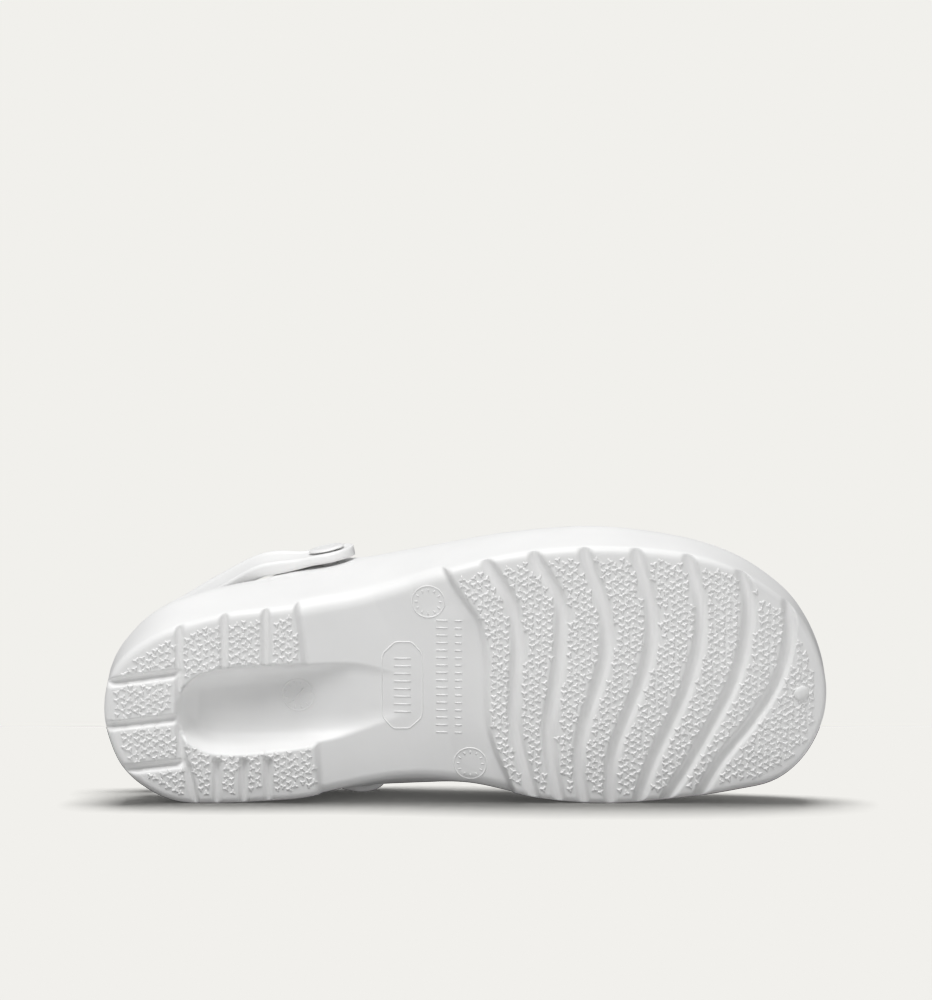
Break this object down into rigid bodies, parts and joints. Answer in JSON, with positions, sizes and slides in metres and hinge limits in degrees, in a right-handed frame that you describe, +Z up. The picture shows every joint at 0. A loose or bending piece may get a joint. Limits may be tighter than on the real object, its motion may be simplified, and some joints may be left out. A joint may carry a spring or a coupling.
{
  "type": "clog",
  "caption": "White moulded work clog with a closed toe, treaded sole, hollow heel underside and swivel heel strap, lying on its inner side.",
  "frame": {"origin": "on the floor under the centre of the lying shoe's bounding box", "axes": "+X along the shoe towards the toe, +Y away from the sole through the upper, +Z up towards the outer side"},
  "size_m": [0.2752, 0.0976, 0.1052],
  "materials": {
    "moulding": "satin white moulded foam plastic",
    "insole_foam": "matt white foam with a fine dimpled top",
    "strap": "satin white moulded plastic",
    "button": "smooth white moulded plastic"
  },
  "bodies": {
    "root": {"clog_body": "moulding", "insole": "insole_foam", "heel_strap": "strap", "strap_button_lateral": "button", "strap_button_medial": "button"}
  },
  "joints": []
}
